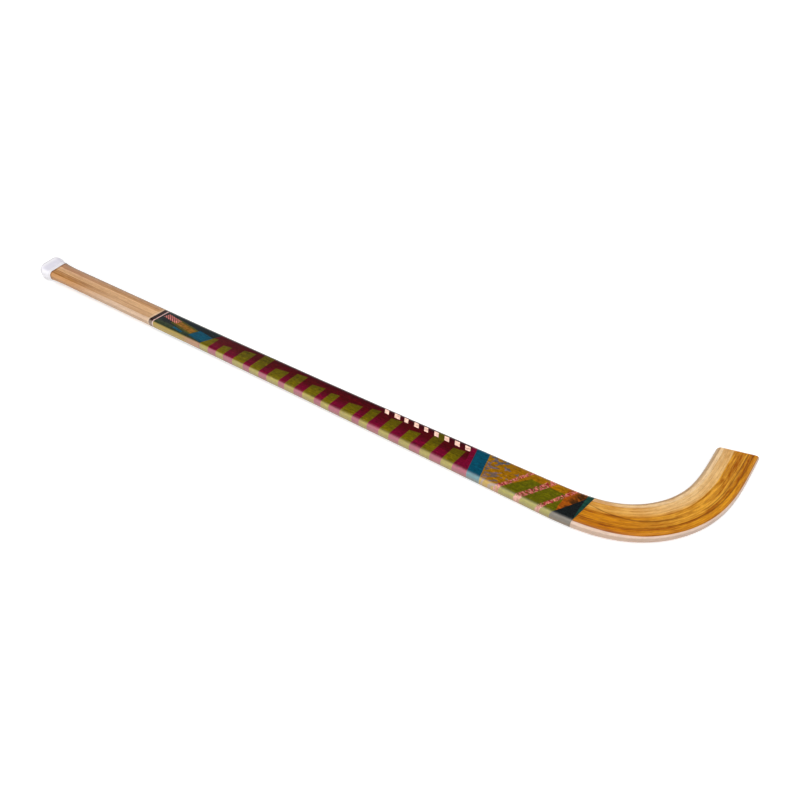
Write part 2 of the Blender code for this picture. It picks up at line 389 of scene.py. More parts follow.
def slot(wedge, s):
    opens = line["shaft"] - wedge["beforeBend"]
    return (wedge["thick"] + wood["glue"]) * ramp(s, opens, opens + wedge["taper"])


def stackHalf(s):
    return (wood["plainStack"] + sum(slot(wedge, s) for wedge in wedges)) / 2


def outline(s):
    flare = ramp(wood["flareLength"] - s, 0, wood["flareLength"]) ** 2
    halfWidth = stackHalf(s) + wood["flareSide"] * flare
    halfHeight = wood["thickness"] / 2 + wood["flareFace"] * flare
    towardsCap = ramp(line["filmStart"] - s, 0, line["filmStart"])
    return halfWidth, halfHeight, wood["edge"] + (wood["gripEdge"] - wood["edge"]) * towardsCap


def roundIn(distance, radius):
    # how far a side has drawn in, that close to the end it rounds into
    if distance >= radius:
        return 0.0
    return radius - math.sqrt(radius ** 2 - (radius - distance) ** 2)


def letIn(s):
    # how deep the wood lies under the cap and under the film, and how far it rounds in at the tip
    depth = wood["capSeat"] * (1 - ramp(s, wood["capEdge"] - wood["step"], wood["capEdge"]))
    underFilm = ramp(s, line["filmStart"] - wood["step"], line["filmStart"])
    underFilm *= 1 - ramp(s, line["filmEnd"], line["filmEnd"] + wood["step"])
    return depth + wood["filmSeat"] * underFilm + roundIn(line["end"] - s, wood["tipRound"])


def faceHeight(s, u):
    halfWidth, flat, radius = (size - letIn(s) for size in outline(s))
    depth = halfWidth - abs(u)
    if depth >= radius:
        return flat
    return flat - radius + math.sqrt(max(radius ** 2 - (radius - depth) ** 2, 0.0))


def layerBounds(s):
    # each layer's two sides, from the outer edge to the inner one
    bounds = {}
    u = -stackHalf(s)
    for number in range(1, wood["count"] + 1):
        bounds["lamina_%d" % number] = [u, u + wood["lamina"]]
        u += wood["lamina"] + wood["glue"]
        for count, wedge in enumerate(wedges, 1):
            if wedge["after"] == number:
                bounds["blade_wedge_%d" % count] = [u, u + slot(wedge, s) - wood["glue"]]
                u += slot(wedge, s)
    bounds["lamina_1"][0] = letIn(s) - outline(s)[0]
    bounds["lamina_%d" % wood["count"]][1] = outline(s)[0] - letIn(s)
    return bounds


def woodStations(start):
    marks = {start, wood["capEdge"] - wood["step"], wood["capEdge"]}
    steps = wood["flareSteps"]
    marks |= {wood["flareLength"] * i / steps for i in range(2, steps + 1)}
    marks |= {line["filmStart"] - wood["step"], line["filmStart"]}
    marks |= {line["filmEnd"], line["filmEnd"] + wood["step"]}
    for wedge in wedges:
        opens = line["shaft"] - wedge["beforeBend"]
        marks |= {opens, opens + wedge["taper"]}
    marks |= {line["shaft"] * i / wood["shaftSteps"] for i in range(2, wood["shaftSteps"])}
    hook = line["end"] - wood["tipRound"] - line["shaft"]
    marks |= {line["shaft"] + hook * i / wood["hookSteps"] for i in range(wood["hookSteps"] + 1)}
    for bend in quarterTurn(wood["tipSteps"])[1:]:
        marks.add(line["end"] - wood["tipRound"] * (1 - math.sin(bend)))
    kept = []
    for mark in sorted(mark for mark in marks if mark >= start):
        if not kept or mark - kept[-1] > wood["leastStep"]:
            kept.append(mark)
    return kept


underFilmWood = [(216, 164, 110), (180, 126, 76)]

# Colours of each layer, light and dark: near the cap, in the rest of the grip, and in the blade.
# The figure says how the golden wood of the blade lies in it, grainTurn how its grain is turned.
woodLooks = {
    "lamina_1": {
        "grip": [(208, 154, 102), (178, 126, 78)],
        "gripFar": [(228, 196, 166), (200, 166, 138)],
        "blade": [(226, 200, 182), (200, 170, 150)],
        "figure": "paleSide", "grainTurn": 12, "depth": 0.75,
    },
    "lamina_2": {
        "grip": [(188, 132, 70), (150, 92, 36)],
        "gripFar": [(218, 174, 132), (188, 142, 98)],
        "blade": [(220, 152, 50), (168, 98, 4)],
        "figure": "golden", "grainTurn": 35, "depth": 0.90,
    },
    "lamina_3": {
        "grip": [(198, 142, 84), (150, 94, 40)],
        "gripFar": [(218, 174, 130), (188, 140, 96)],
        "blade": [(222, 156, 54), (164, 92, 0)],
        "figure": "golden", "grainTurn": -25, "depth": 1.0,
    },
    "lamina_4": {
        "grip": [(228, 180, 130), (194, 146, 96)],
        "gripFar": [(228, 184, 138), (198, 150, 104)],
        "blade": [(222, 156, 54), (168, 96, 2)],
        "figure": "golden", "grainTurn": 50, "depth": 0.95,
    },
    "lamina_5": {
        "grip": [(232, 186, 142), (198, 150, 108)],
        "gripFar": [(236, 190, 142), (202, 156, 110)],
        "blade": [(238, 192, 124), (204, 148, 76)],
        "figure": "honey", "honeyShare": 1.0, "grainTurn": -40, "depth": 0.90,
    },
    "lamina_6": {
        "grip": [(188, 136, 98), (156, 106, 68)],
        "gripFar": [(202, 152, 104), (168, 120, 72)],
        "blade": [(238, 194, 130), (204, 148, 80)],
        "figure": "honey", "honeyShare": 1.0, "grainTurn": 20, "depth": 0.90,
    },
    "lamina_7": {
        "grip": [(192, 150, 116), (160, 118, 86)],
        "gripFar": [(200, 158, 120), (170, 126, 88)],
        "blade": [(244, 212, 166), (212, 166, 112)],
        "figure": "honey", "honeyShare": 0.35, "grainTurn": -15, "depth": 0.90,
    },
    "lamina_8": {
        # painted shade: this inner layer is pale wood, given darker colours as its rounded edge lay
        # in shade
        "grip": [(172, 140, 112), (138, 102, 76)],
        "gripFar": [(172, 138, 108), (138, 102, 74)],
        "blade": [(214, 180, 138), (168, 128, 86)],
        "figure": "plain", "grainTurn": 30, "depth": 0.85,
    },
    "blade_wedge_1": {
        "grip": underFilmWood, "gripFar": underFilmWood,
        "blade": [(222, 156, 54), (164, 92, 0)],
        "figure": "golden", "grainTurn": 15, "depth": 1.0,
    },
    "blade_wedge_2": {
        "grip": underFilmWood, "gripFar": underFilmWood,
        "blade": [(238, 192, 124), (204, 148, 76)],
        "figure": "honey", "honeyShare": 1.0, "grainTurn": -30, "depth": 0.90,
    },
    "blade_wedge_3": {
        "grip": underFilmWood, "gripFar": underFilmWood,
        "blade": [(240, 200, 140), (206, 152, 88)],
        "figure": "honey", "honeyShare": 1.0, "grainTurn": 25, "depth": 0.90,
    },
}

# The golden wood of the blade. Places are along the stick, heights across it from its middle.
bladeFigure = {
    "golden": [(232, 166, 54), (160, 86, 0)],
    "goldenNear": [(214, 138, 18), (146, 74, 0)],
    "nearTo": (0.895, 0.965),
    "outerTint": (0.92, 0.82, 0.40, 1.0),
    "outerTo": (-13 * mm, -10 * mm),
    "honey": [(230, 172, 82), (184, 112, 20)],
    "honeyTo": (0.885, 0.985),
    "goldenTo": 3.8 * mm,
    "goldenWaver": 3 * mm,
    "goldenSoft": 3.2 * mm,     # near the film the golden wood fades out over this height
    "goldenSharp": 0.5 * mm,    # and towards the tip over this one
    "sharpens": (0.94, 1.03),
    "vein": (92, 44, 0),
    "veinShare": 0.70,
    "bowAt": 0.955, "bowHeight": -4.5 * mm,     # a dark line in a bow, rising towards the film
    "bow": 1.64, "bowWidth": 1.3 * mm, "bowWaver": 1.5 * mm,
    "bowFrom": (0.855, 0.880), "bowTo": (0.945, 0.985),
    "veins": [                  # from, to, height in mm, climb in mm for each metre, width in mm
        (0.935, 1.12, -12.8, -20, 0.9),
        (0.985, 1.12, -9.4, -8, 0.9),
        (0.84, 0.96, -13.6, 10, 0.8),
    ],
    "veinWaver": 3 * mm, "veinFadeIn": 0.02, "veinFadeOut": 0.03,
    "paleFrom": -20.1 * mm,     # the pale side ends at this height, and towards the tip at paleTo
    "paleTo": -21.5 * mm, "paleTurn": (0.86, 0.93), "paleSoft": 0.25 * mm,
    "paleLine": (0.1 * mm, 1.0 * mm, 0.3 * mm), "paleLineShare": 0.45,
}

# The surface of every layer. A grain is how fine it is along, across and up, its detail and its
# roughness. A stain is its share and its tint.
woodSurface = {
    "shiftFrom": 1.3, "shiftStep": 3.7,         # so that no two layers have the same grain
    "farFrom": (0.05, 0.15),
    "bladeFrom": (0.45, 0.70),
    "sway": (6, 30, 30, 1.0, 0.5), "swayBy": 4 * mm,
    "broad": (8, 260, 90, 2.0, 0.5), "broadRange": (0.38, 0.62), "broadTone": 0.50,
    "middling": (22, 620, 260, 2.0, 0.5), "middlingRange": (0.38, 0.64), "middlingTone": 0.34,
    "fibres": (50, 2000, 1800, 3.0, 0.6), "fibreTone": 0.5,
    "dashes": (110, 800, 700, 2.0, 0.5), "dashTone": 1.1,
    "clouds": (55, 170, 150, 2.0, 0.5), "cloudTone": 0.5, "cloudBladeTone": 0.9,
    "leastTone": 0.06,
    "flecks": (420, 650, 650, 2.0, 0.5), "fleckRange": (0.48, 0.72),
    "pores": (120, 3000, 3000, 1.0, 0.5), "poreRange": (0.60, 0.72),
    "jointRange": (0.90, 0.995),
    "mouthShadowFade": 4.0 * mm,       # painted shadow on the wood at the cap's mouth
    "stains": {
        "flecks": (0.18, (1.40, 1.34, 1.15, 1.0)),
        "pores": (0.50, (0.42, 0.30, 0.18, 1.0)),
        "joint": (0.34, (0.40, 0.28, 0.16, 1.0)),
        # painted shadow on the wood beside the cap's mouth
        "mouthShadow": (0.60, (0.42, 0.30, 0.22, 1.0)),
    },
    "paleBand": 3.2 * mm, "paleBandSoft": 0.4 * mm,       # a pale band on the wood just before the film's end, its lacquer rougher there
    "paleBandColour": (236, 214, 186), "paleBandShare": 0.35,
    "roughness": 0.36, "fibreRough": 0.16, "poreRough": 0.12, "paleBandRough": 0.10,
    "fibreHeight": 0.5, "poreHeight": 0.5, "broadHeight": 0.2,
    "bump": 0.15, "bumpHeight": 0.12 * mm,
    "coat": 0.12, "coatRoughness": 0.12,
    "specular": 0.15,
}


def woodFinish(name, look, shift):
    finish = Finish("finish_" + name)
    surface = woodSurface
    figure = bladeFigure
    s, u, z = finish.places()
    sway = finish.grain(surface["sway"], s, u, z, shift) - 0.5
    turn = math.radians(look["grainTurn"])
    across = u * math.cos(turn) + z * math.sin(turn) + sway * surface["swayBy"]

    def grain(kind):
        return finish.grain(surface[kind], s, across, z, shift)

    broad = grain("broad")
    middling = grain("middling")
    fibres = grain("fibres")
    pores = grain("pores").between(*surface["poreRange"])

    far = s.between(*surface["farFrom"])
    inBlade = s.between(*surface["bladeFrom"])
    nearFilm = 1 - s.between(*figure["nearTo"])
    outer = 1 - u.between(*figure["outerTo"])
    honey = 0.0
    vein = 0.0
    golden = inBlade
    if look["figure"] == "paleSide":
        # golden wood inside a pale side, and a dark line between them
        inside = u - figure["paleFrom"]
        inside = inside - s.between(*figure["paleTurn"]) * (figure["paleTo"] - figure["paleFrom"])
        golden = inBlade * inside.above(0, figure["paleSoft"])
        vein = inBlade * inside.band(*figure["paleLine"]) * figure["paleLineShare"]
    elif look["figure"] == "honey":
        # the golden wood ends in these layers, and near the film they are honey-coloured
        honey = inBlade * (1 - s.between(*figure["honeyTo"])) * look["honeyShare"]
        soft = s.between(*figure["sharpens"]) * (figure["goldenSharp"] - figure["goldenSoft"])
        depth = figure["goldenTo"] - u + (middling - 0.5) * figure["goldenWaver"]
        golden = inBlade * (depth / (soft + figure["goldenSoft"])).between(-1.0, 1.0)
    elif look["figure"] == "plain":
        golden = 0.0
    tones = []
    for tone in range(2):
        colour = finish.mix(far, paint(look["grip"][tone]), paint(look["gripFar"][tone]))
        colour = finish.mix(inBlade, colour, paint(look["blade"][tone]))
        colour = finish.mix(honey, colour, paint(figure["honey"][tone]))
        near = paint(figure["goldenNear"][tone])
        rich = finish.mix(nearFilm, paint(figure["golden"][tone]), near)
        rich = finish.mix(outer, rich, figure["outerTint"], "MULTIPLY")
        tones.append(finish.mix(golden, colour, rich))

    tone = broad.between(*surface["broadRange"]) * surface["broadTone"]
    tone = tone + middling.between(*surface["middlingRange"]) * surface["middlingTone"]
    cloudTone = inBlade * surface["cloudBladeTone"] + surface["cloudTone"]
    tone = tone + (grain("clouds") - 0.5) * cloudTone
    tone = tone + (fibres - 0.5) * surface["fibreTone"]
    tone = tone + (grain("dashes") - 0.5) * surface["dashTone"]
    tone = (tone + surface["leastTone"]) * look["depth"]
    colour = finish.mix(tone.most(0).least(1), tones[0], tones[1])
    if look["figure"] in ("golden", "honey"):
        level = s.least(figure["bowAt"]) - figure["bowAt"]
        level = level * level * figure["bow"] + figure["bowHeight"]
        offset = abs(u - level + (middling - 0.5) * figure["bowWaver"]) / figure["bowWidth"]
        reach = s.between(*figure["bowFrom"]) * (1 - s.between(*figure["bowTo"]))
        vein = (1 - offset).most(0) * reach
        for begin, end, height, climb, width in figure["veins"]:
            offset = u - (s - begin) * (climb * mm) - height * mm + sway * figure["veinWaver"]
            reach = s.between(begin, begin + figure["veinFadeIn"])
            reach = reach * (1 - s.between(end - figure["veinFadeOut"], end))
            vein = vein + (1 - abs(offset) / (width * mm)).most(0) * reach
        vein = (vein * figure["veinShare"]).least(1)
    if look["figure"] != "plain":
        colour = finish.mix(vein, colour, paint(figure["vein"]))
    masks = {
        "flecks": grain("flecks").between(*surface["fleckRange"]),
        "pores": pores,
        "joint": (abs(finish.share() - 0.5) * 2).between(*surface["jointRange"]),
        # painted shadow beside the cap's mouth
        "mouthShadow": 1 - s.between(wood["capEdge"], wood["capEdge"] + surface["mouthShadowFade"]),
    }
    colour = finish.stain(colour, surface["stains"], masks)
    reach = s - u * line["filmStartSlant"] - line["filmStart"]
    paleBand = reach.between(-surface["paleBand"], surface["paleBandSoft"] - surface["paleBand"])
    paleBand = paleBand * (1 - reach.between(0, mm))
    colour = finish.mix(paleBand * surface["paleBandShare"], colour, paint(surface["paleBandColour"]))

    rough = (fibres - 0.5) * surface["fibreRough"] + pores * surface["poreRough"]
    rough = surface["roughness"] + rough + paleBand * surface["paleBandRough"]
    height = fibres * surface["fibreHeight"] - pores * surface["poreHeight"]
    return finish.cover(surface, colour, rough, height + broad * surface["broadHeight"])


def edgeCuts(number):
    # shares of the way across a layer where the stick's rounded edge needs a line of points
    near = (number - 1) * (wood["lamina"] + wood["glue"])
    fromInner = near > wood["plainStack"] / 2
    if fromInner:
        near = wood["plainStack"] - near - wood["lamina"]
    cuts = []
    for i in range(wood["edgeSteps"] + 2):
        bend = math.pi / 2 * min(i / wood["edgeSteps"], 1.0)
        past = wood["pastEdge"] if i > wood["edgeSteps"] else 0
        share = (wood["edge"] * (1 - math.cos(bend)) + past - near) / wood["lamina"]
        least = 0 if near == 0 else wood["cutMargin"]
        if least < share < 1 - wood["cutMargin"]:
            cuts.append(1 - share if fromInner else share)
    return cuts


def buildWood():
    gap = wood["glue"] / 2 - wood["seam"]
    for number, name in enumerate(woodLooks):
        outerSide = name == "lamina_1"
        innerSide = name == "lamina_%d" % wood["count"]
        start = wood["start"]
        cuts = []
        if name.startswith("lamina"):
            cuts = edgeCuts(int(name[-1]))
        else:
            wedge = wedges[int(name[-1]) - 1]
            thin = (wood["feather"] + wood["glue"]) / (wedge["thick"] + wood["glue"])
            start = line["shaft"] - wedge["beforeBend"] + thin * wedge["taper"]
        rings = []
        for s in woodStations(start):
            low, high = layerBounds(s)[name]
            low -= 0 if outerSide else gap
            high += 0 if innerSide else gap
            wide = high - low
            groove = min(wood["grooveWidth"], wide / 4)
            marks = [(low + wide * cut, 0) for cut in cuts]
            marks += [(low, 0)] if outerSide else [(low, wood["groove"]), (low + groove, 0)]
            marks += [(high, 0)] if innerSide else [(high, wood["groove"]), (high - groove, 0)]
            top = []
            for u, drop in sorted(marks):
                height = max(faceHeight(s, u) - drop, wood["leastHeight"])
                top.append((s, u, height, (u - low) / wide))
            rings.append(top + [(s, u, -z, v) for s, u, z, v in top[::-1]])
        piece = loftPiece(name + "_grained", rings)
        shift = woodSurface["shiftStep"] * number + woodSurface["shiftFrom"]
        piece.data.materials.append(woodFinish(name, woodLooks[name], shift))
        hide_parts(name)


buildWood()
print("wood layers made")


def roundRing(s, halfWidth, halfHeight, radius, steps=10):
    # a ring round the whole section, as (s, u, z, v), v from the outer side to the inner one
    ring = []
    for quarter, (side, up) in enumerate(((-1, 1), (1, 1), (1, -1), (-1, -1))):
        for i in range(steps + 1):
            angle = math.pi - math.pi / 2 * (quarter + i / steps)
            u = side * (halfWidth - radius) + radius * math.cos(angle)
            z = up * (halfHeight - radius) + radius * math.sin(angle)
            ring.append((s, u, z, u / halfWidth))
    return ring


# Grains and stains are written as those of the wood. A flat grain has its layer as its third value.
film = {
    "wall": 0.25 * mm,
    "lip": 0.12 * mm,
    "steps": 110,
    "inks": {
        "border": (38, 14, 12), "hairline": (206, 170, 166),
        "charcoal": (18, 27, 30), "slate": (44, 56, 38),
        "teal": (0, 70, 94), "tealEdge": (20, 62, 54), "navy": (18, 24, 26),
        "ochre": (132, 90, 22), "gold": (146, 98, 0),
        "rust": (152, 76, 8), "umber": (64, 34, 6),
        "rose": (206, 116, 108), "crimson": (140, 24, 40), "peach": (252, 208, 192),
        "burgundy": (74, 0, 8), "magenta": (108, 0, 40), "plum": (52, 0, 12),
        "olive": (82, 72, 0), "lime": (104, 92, 0), "green": (90, 88, 0),
        "lilac": (104, 92, 104), "blueGrey": (52, 76, 94),
        "pale": (246, 226, 200), "woodAndShade": (140, 114, 84),
        "sideGold": (178, 150, 66), "sideSalmon": (190, 142, 110),
    },
    "soft": 0.35 * mm,          # the soft edge of an ink
    "wobble": (60, 60, 0, 2.0, 0.5),
    "wobbleBy": 3 * mm,
    "brush": (260, 420, 0, 2.0, 0.5),
    "ground": {"magentaTo": (-13 * mm, 2 * mm), "plumFrom": (5 * mm, 15 * mm), "plumShare": 0.8},
    "bars": {
        "pitch": 29 * mm, "lean": 0.16,
        "wide": 0.42, "wideSpread": 0.26,       # as shares of the pitch
        "high": 2.5 * mm, "highSpread": 10 * mm, "highMiddle": 0.45, "highSeed": 0.71,
        "full": 14 * mm, "fullFrom": (0.74, 0.76),      # one in four reaches right across
        "fullSeed": 0.37,
        "climb": 5 * mm,
        "limeTo": (-14 * mm, 6 * mm),
    },
    "blocks": {
        "pitch": 14 * mm, "lean": 0.5,
        "wide": (0.30, 0.36), "wideSpread": 0.32, "wideSeed": 0.5, "edge": 0.05,
        "across": (8.4 * mm, 14.8 * mm),
        "along": (0.594, 0.716),
    },
    "top": {                    # measured from the film's upper end
        "length": 100 * mm, "slant": 0.45, "wobble": 0.3,
        "slateTo": (-8 * mm, -5 * mm),
        "level": 50 * mm, "climb": 0.12,
        "patches": [            # ink, share, and where it lies along and across
            ("green", 0.6, (30 * mm, 76 * mm), (-6.5 * mm, 6.0 * mm)),
            ("ochre", 1.0, (36 * mm, 71 * mm), (-4.0 * mm, 3.6 * mm)),
            ("teal", 1.0, (73 * mm, 100 * mm), (-8.0 * mm, 7.5 * mm)),
            ("teal", 1.0, (44 * mm, 62 * mm), (-11.5 * mm, -8.5 * mm)),
        ],
        "hatched": ((10 * mm, 37 * mm), (-3.5 * mm, 4.5 * mm)),
        "hatchPitch": 3.6 * mm, "hatchSlant": 1.1, "hatchWobble": 0.4,
        "hatch": (0.22, 0.78, 0.14),
        "border": (6.2 * mm, 6.8 * mm),
        "hairline": (6.5 * mm, 8.2 * mm),
    },
    "bottom": {                 # rust, umber and ends are measured from the film's lower end
        "slant": 0.15, "wobble": 0.3,
        "fields": [("magenta", 0.718), ("teal", 0.7245), ("gold", 0.741)],
        "drift": (50, 90, 4, 1.0, 0.5),
        "greenFrom": 0.786, "greenSlant": 0.9, "greenTo": 9 * mm,
        "rustFrom": 25 * mm, "rustSlant": -0.3,
        "umberFrom": (14 * mm, 24 * mm), "umberTone": (0.42, 0.62), "umberBrush": 0.5,
        "ends": [("navy", 0.45, 13 * mm), ("tealEdge", -0.2, 4 * mm)],
    },
    "strokes": {
        "grain": (1, 1, 2, 1.0, 0.5),
        "along": (90, 70), "across": (130, -230),   # how fine, for each way along and across
        "brush": 0.30, "range": (0.50, 0.56),
        "from": 0.754, "thinning": 4,
        "place": (0.7425, 0.781),
        "tone": (0.42, 0.58),
        "share": 0.60, "innerShare": 0.25, "innerFrom": (-9 * mm, 2 * mm),
    },
    "dots": {
        "scale": 560.0, "randomness": 0.8,
        "size": (0.58, 0.74),
        "tone": (-0.12, 0.06),
        "rows": [(0.780, 2.8 * mm), (0.806, 4.2 * mm), (0.832, 2.8 * mm)],
        "slant": 0.7, "brush": 3 * mm, "soft": 0.5 * mm,
        "share": 0.95,
    },
    "fibres": (16, 1300, 1300, 3.0, 0.6), "fibreRange": (0.42, 0.72),
    "streak": (11, 420, 420, 2.0, 0.5), "streakRange": (0.38, 0.62),
    "mottle": (230, 400, 400, 3.0, 0.65), "darkRange": (0.54, 0.66), "paleRange": (0.34, 0.46),
    "stains": {
        "fibres": (0.45, (0.48, 0.42, 0.38, 1.0)),
        "streak": (0.45, (1.45, 1.40, 1.30, 1.0)),
        "dark": (0.60, (0.40, 0.38, 0.36, 1.0)),
        "pale": (0.60, (1.90, 1.85, 1.75, 1.0)),
    },
    "side": {
        "from": (0.82, 0.955),
        "gamma": 0.60,          # the print is thin at the sides, which lightens its colours; this lightening is also a painted highlight
        "paleShare": 0.20,
        "woodAndShadeTo": (-3 * mm, 3 * mm), "woodAndShadeShare": 0.50,     # the lower half of each side is browner: wood showing through, and painted shade
        "topTurn": (0.280, 0.300), "topFrom": (7.8 * mm, 8.2 * mm), "topShare": 0.85,
    },
    "roughness": 0.20, "fibreRough": 0.06,
    "bump": 0.08, "bumpHeight": 0.12 * mm,
    "coat": 0.22, "coatRoughness": 0.06,
    "specular": 0.15,
}


def filmFinish():
    finish = Finish("finish_film_print")
    s, u, z = finish.places()
    soft = film["soft"]
    fromStart = s - u * line["filmStartSlant"] - line["filmStart"]
    toEnd = line["filmEnd"] + u * line["filmEndSlant"] - s
    wobble = (finish.grain(film["wobble"], s, u) - 0.5) * film["wobbleBy"]
    brush = finish.grain(film["brush"], s, u) - 0.5

    def ink(name):
        return paint(film["inks"][name])

    # burgundy ground, magenta on the outer side, with leaning olive bars of uneven height
    ground = film["ground"]
    colour = finish.mix(u.between(*ground["magentaTo"]), ink("magenta"), ink("burgundy"))
    colour = finish.mix(u.between(*ground["plumFrom"]) * ground["plumShare"], colour, ink("plum"))
    bars = film["bars"]
    lean = (s - u * bars["lean"]) / bars["pitch"]
    within = lean.fraction()
    number = lean.floor()
    wide = finish.chance(number) * bars["wideSpread"]
    full = finish.chance(number + bars["fullSeed"]).between(*bars["fullFrom"]) * bars["full"]
    high = finish.chance(number + bars["highSeed"]) - bars["highMiddle"]
    high = high * bars["highSpread"] + full + within * bars["climb"]
    edge = soft / bars["pitch"]
    bar = within.between(0, 2 * edge) * (within - wide).below(bars["wide"], edge)
    bar = bar * (u - high).below(bars["high"], soft)
    barInk = finish.mix(u.between(*bars["limeTo"]), ink("lime"), ink("olive"))
    colour = finish.mix(bar, colour, barInk)

    # a row of plain peach blocks
    blocks = film["blocks"]
    beat = (s + u * blocks["lean"]) / blocks["pitch"]
    within = beat.fraction()
    wide = finish.chance(beat.floor() + blocks["wideSeed"]) * blocks["wideSpread"]
    block = (1 - (within - wide).between(*blocks["wide"])) * within.between(0, blocks["edge"])
    block = block * u.band(*blocks["across"], soft) * s.band(*blocks["along"], soft)
    colour = finish.mix(block, colour, ink("peach"))

    # top end: charcoal, with patches of colour, the last of them hatched
    top = film["top"]
    reach = fromStart - u * top["slant"] + wobble * top["wobble"]
    topEnd = reach.below(top["length"], soft)
    colour = finish.mix(topEnd, colour, ink("charcoal"))
    colour = finish.mix(topEnd * (1 - u.between(*top["slateTo"])), colour, ink("slate"))
    hatch = (s + u * top["hatchSlant"] + wobble * top["hatchWobble"]) / top["hatchPitch"]
    hatch = hatch.fraction().band(*top["hatch"])
    level = u + (fromStart - top["level"]) * top["climb"]
    for name, share, along, across in [*top["patches"], ("rose", hatch, *top["hatched"])]:
        mask = reach.band(*along, soft) * level.band(*across, soft) * share
        colour = finish.mix(mask * topEnd, colour, ink(name))
    colour = finish.mix(1 - fromStart.between(*top["border"]), colour, ink("border"))
    colour = finish.mix(fromStart.band(*top["hairline"], soft), colour, ink("hairline"))

    # bottom end: teal, then gold with lilac strokes
    low = film["bottom"]
    bottom = s + u * low["slant"] + wobble * low["wobble"]
    for name, first in low["fields"]:
        colour = finish.mix(bottom.above(first, soft), colour, ink(name))
    drift = finish.grain(low["drift"], s, u)
    strokes = film["strokes"]
    along, across = (s * strokes[way][0] + u * strokes[way][1] for way in ("along", "across"))
    stroke = finish.grain(strokes["grain"], along, across) + brush * strokes["brush"]
    stroke = stroke + (strokes["from"] - bottom) * strokes["thinning"]
    stroke = stroke.between(*strokes["range"]) * bottom.band(*strokes["place"], soft)
    share = strokes["share"] + u.between(*strokes["innerFrom"]) * strokes["innerShare"]
    strokeInk = finish.mix(drift.between(*strokes["tone"]), ink("blueGrey"), ink("lilac"))
    colour = finish.mix(stroke * share, colour, strokeInk)

    # then green and rust crossed by rows of dots, navy, and a teal edge
    green = (s - u * low["greenSlant"] - wobble).above(low["greenFrom"], mm)
    green = green * (u - wobble).below(low["greenTo"], soft)
    colour = finish.mix(green, colour, ink("green"))
    rust = (toEnd + wobble + u * low["rustSlant"]).below(low["rustFrom"], soft)
    umber = (drift + brush * low["umberBrush"]).between(*low["umberTone"])
    umber = umber * (1 - toEnd.between(*low["umberFrom"]))
    colour = finish.mix(rust, colour, finish.mix(umber, ink("rust"), ink("umber")))
    dots = film["dots"]
    cells = {"Scale": dots["scale"], "Randomness": dots["randomness"]}
    cells["Vector"] = finish.vector(s, u, 0)
    spots = 1 - finish.node("ShaderNodeTexVoronoi", {}, cells).between(*dots["size"])
    dotInk = finish.mix(brush.between(*dots["tone"]), ink("crimson"), ink("rose"))
    for first, wide in dots["rows"]:
        row = abs(s - u * dots["slant"] + wobble - first) + brush * dots["brush"]
        row = row.below(wide, dots["soft"]) * spots * dots["share"]
        colour = finish.mix(row, colour, dotInk)
    for name, slope, wide in low["ends"]:
        colour = finish.mix((toEnd + u * slope).below(wide, soft), colour, ink(name))

    # the wood's grain shows through the inks, and they are mottled, and thin on the sides, with a
    # painted highlight there and painted shade below
    fibres = finish.grain(film["fibres"], s, u, z)
    mottle = finish.grain(film["mottle"], s, u, z)
    masks = {
        "fibres": fibres.between(*film["fibreRange"]),
        "streak": finish.grain(film["streak"], s, u, z).between(*film["streakRange"]),
        "dark": mottle.between(*film["darkRange"]),
        "pale": 1 - mottle.between(*film["paleRange"]),
    }
    colour = finish.stain(colour, film["stains"], masks)
    side = film["side"]
    # the sides: thin print and a painted highlight lighten the inks, and painted shade browns their
    # lower half
    thin = finish.node("ShaderNodeGamma", {}, {"Color": colour, "Gamma": side["gamma"]})
    thin = finish.mix(side["paleShare"], thin, ink("pale"))
    thin = finish.mix((1 - z.between(*side["woodAndShadeTo"])) * side["woodAndShadeShare"], thin, ink("woodAndShade"))
    topSide = finish.mix(s.between(*side["topTurn"]), ink("sideGold"), ink("sideSalmon"))
    topMask = topEnd * fromStart.between(*side["topFrom"]) * side["topShare"]
    thin = finish.mix(topMask, thin, topSide)
    colour = finish.mix(abs(finish.share()).between(*side["from"]), colour, thin)
    rough = film["roughness"] + fibres * film["fibreRough"]
    return finish.cover(film, colour, rough, fibres)


def buildFilm():
    start = line["filmStart"]
    end = line["filmEnd"]
    marks = {start, start + film["lip"], end - film["lip"], end}
    marks |= {start + (end - start) * i / film["steps"] for i in range(1, film["steps"])}
    marks = sorted(marks)
    rings = []
    for s in marks:
        lip = film["lip"] if s in (start, end) else 0.0
        rings.append(roundRing(s, *(size - lip for size in outline(s))))
    for s in marks[::-1]:
        rings.append(roundRing(s, *(size - film["wall"] for size in outline(s))))
    piece = loftPiece("film_print", rings, closed=True)
    piece.data.materials.append(filmFinish())
    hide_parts("film_sleeve")


buildFilm()
print("film made")

